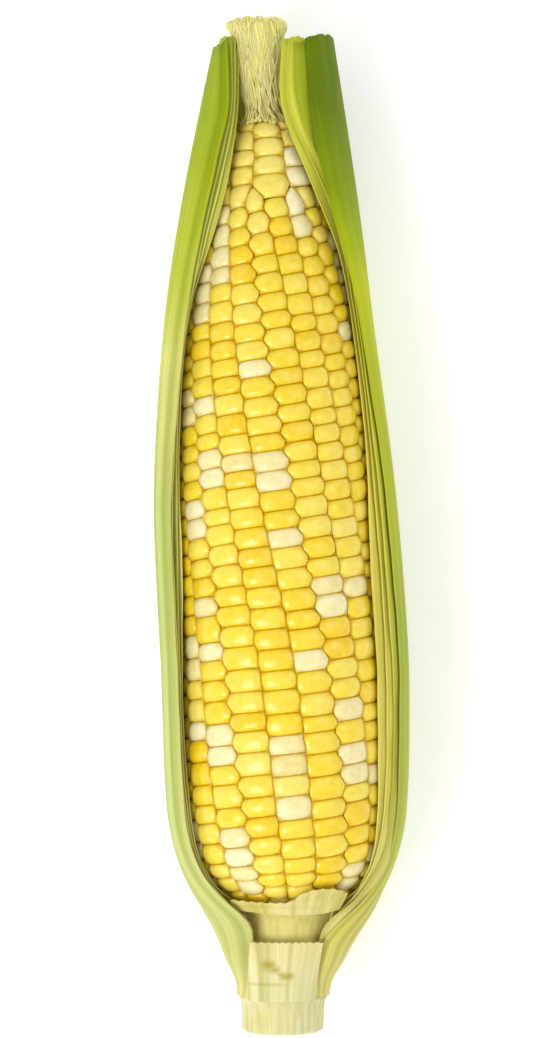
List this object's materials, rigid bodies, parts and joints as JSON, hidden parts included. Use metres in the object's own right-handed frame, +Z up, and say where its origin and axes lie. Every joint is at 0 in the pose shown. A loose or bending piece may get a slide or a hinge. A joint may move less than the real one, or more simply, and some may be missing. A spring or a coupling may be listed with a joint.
{
  "type": "ear of sweet corn",
  "caption": "Fresh ear of bicolour sweet corn lying on its back, its husk cut open in front over twisting rows of plump kernels, with a cut stalk and trimmed silk.",
  "frame": {"origin": "on the surface that the ear lies on, below the middle of its bounding box", "axes": "+Y along the ear from the cut stalk to the tip, +Z up, out of the open front of the husk"},
  "size_m": [0.0612, 0.244, 0.0543],
  "materials": {
    "kernel": "gloss",
    "husk_outer": "satin",
    "husk_inner": "satin",
    "silk": "satin",
    "stalk": "matte"
  },
  "bodies": {
    "root": {"cob_and_stalk": "stalk", "kernel_row_01": "kernel", "kernel_row_02": "kernel", "kernel_row_03": "kernel", "kernel_row_04": "kernel", "kernel_row_05": "kernel", "kernel_row_06": "kernel", "kernel_row_07": "kernel", "kernel_row_08": "kernel", "kernel_row_09": "kernel", "kernel_row_10": "kernel", "kernel_row_11": "kernel", "kernel_row_12": "kernel", "kernel_row_13": "kernel", "kernel_row_14": "kernel", "kernel_row_15": "kernel", "kernel_row_16": "kernel", "kernel_row_17": "kernel", "kernel_row_18": "kernel", "outer_leaf_right": "husk_outer", "outer_leaf_left": "husk_outer", "outer_leaf_back": "husk_outer", "second_leaf_right": "husk_outer", "second_leaf_left": "husk_outer", "third_leaf_right": "husk_inner", "third_leaf_left": "husk_inner", "inner_leaf_right": "husk_inner", "inner_leaf_left": "husk_inner", "front_leaf_stub_lower": "husk_inner", "front_leaf_stub_upper": "husk_inner", "silk": "silk"}
  },
  "joints": []
}
